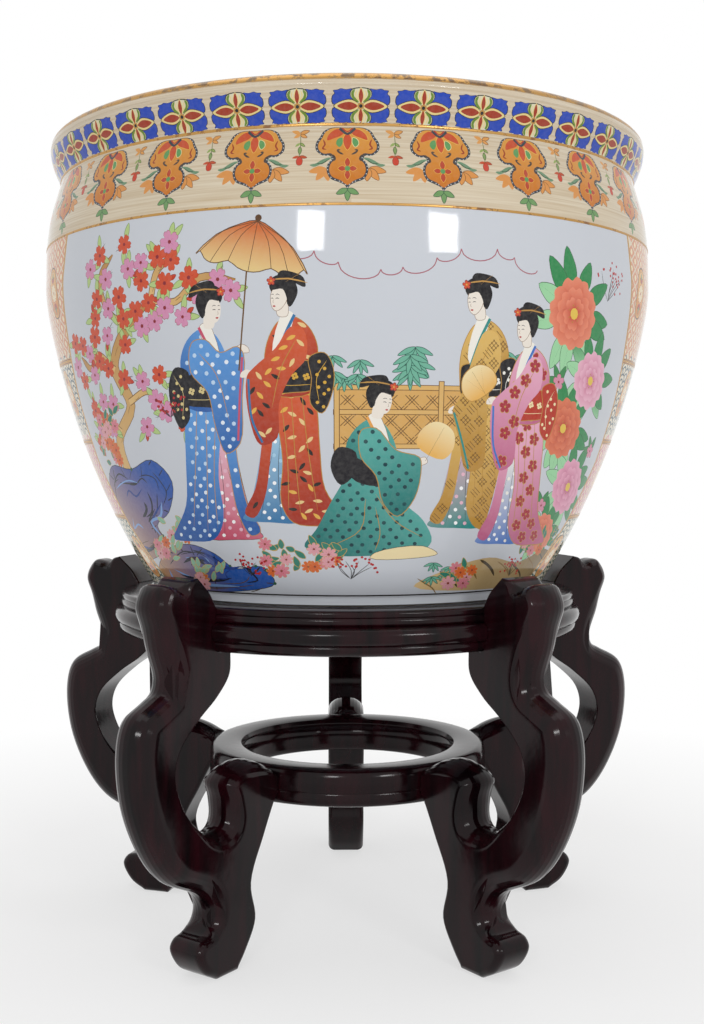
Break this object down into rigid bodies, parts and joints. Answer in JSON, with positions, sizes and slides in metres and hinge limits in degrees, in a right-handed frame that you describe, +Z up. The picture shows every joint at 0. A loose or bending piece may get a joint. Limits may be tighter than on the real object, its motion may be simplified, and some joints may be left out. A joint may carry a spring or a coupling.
{
  "type": "jardiniere on stand",
  "caption": "Round glazed planter bowl with a rolled lip, standing free on a dark wood stand with a moulded ring, scrolled legs and a low stretcher ring.",
  "frame": {"origin": "on the floor under the middle of the whole piece; the bowl's axis lies 8.25 mm towards the front of it", "axes": "+Z up along the bowl's axis, +Y towards the back leg, -Y the front of the picture, +X right"},
  "size_m": [0.4186, 0.4236, 0.5233],
  "materials": {
    "glazed_porcelain": "glossy clear glaze over white and coloured enamels, gold on the lip",
    "rosewood": "dark red-brown, high gloss lacquer",
    "dowel_wood": "plain, glued in"
  },
  "bodies": {
    "stand": {"leg_back": "rosewood", "leg_left_back": "rosewood", "leg_left_front": "rosewood", "leg_right_front": "rosewood", "leg_right_back": "rosewood", "top_ring_left_back": "rosewood", "top_ring_left": "rosewood", "top_ring_front": "rosewood", "top_ring_right": "rosewood", "top_ring_right_back": "rosewood", "lower_ring": "rosewood", "shelf_dowel_1a": "dowel_wood", "shelf_dowel_1b": "dowel_wood", "shelf_dowel_2a": "dowel_wood", "shelf_dowel_2b": "dowel_wood", "shelf_dowel_3a": "dowel_wood", "shelf_dowel_3b": "dowel_wood", "shelf_dowel_4a": "dowel_wood", "shelf_dowel_4b": "dowel_wood", "shelf_dowel_5a": "dowel_wood", "shelf_dowel_5b": "dowel_wood", "hook_dowel_1": "dowel_wood", "hook_dowel_2": "dowel_wood", "hook_dowel_3": "dowel_wood", "hook_dowel_4": "dowel_wood", "hook_dowel_5": "dowel_wood"},
    "bowl": {"bowl": "glazed_porcelain"}
  },
  "joints": [
    {"name": "bowl_lift", "type": "slide", "parent": "stand", "child": "bowl", "axis": [0, 0, 1], "range_m": [0, 0.12]}
  ]
}
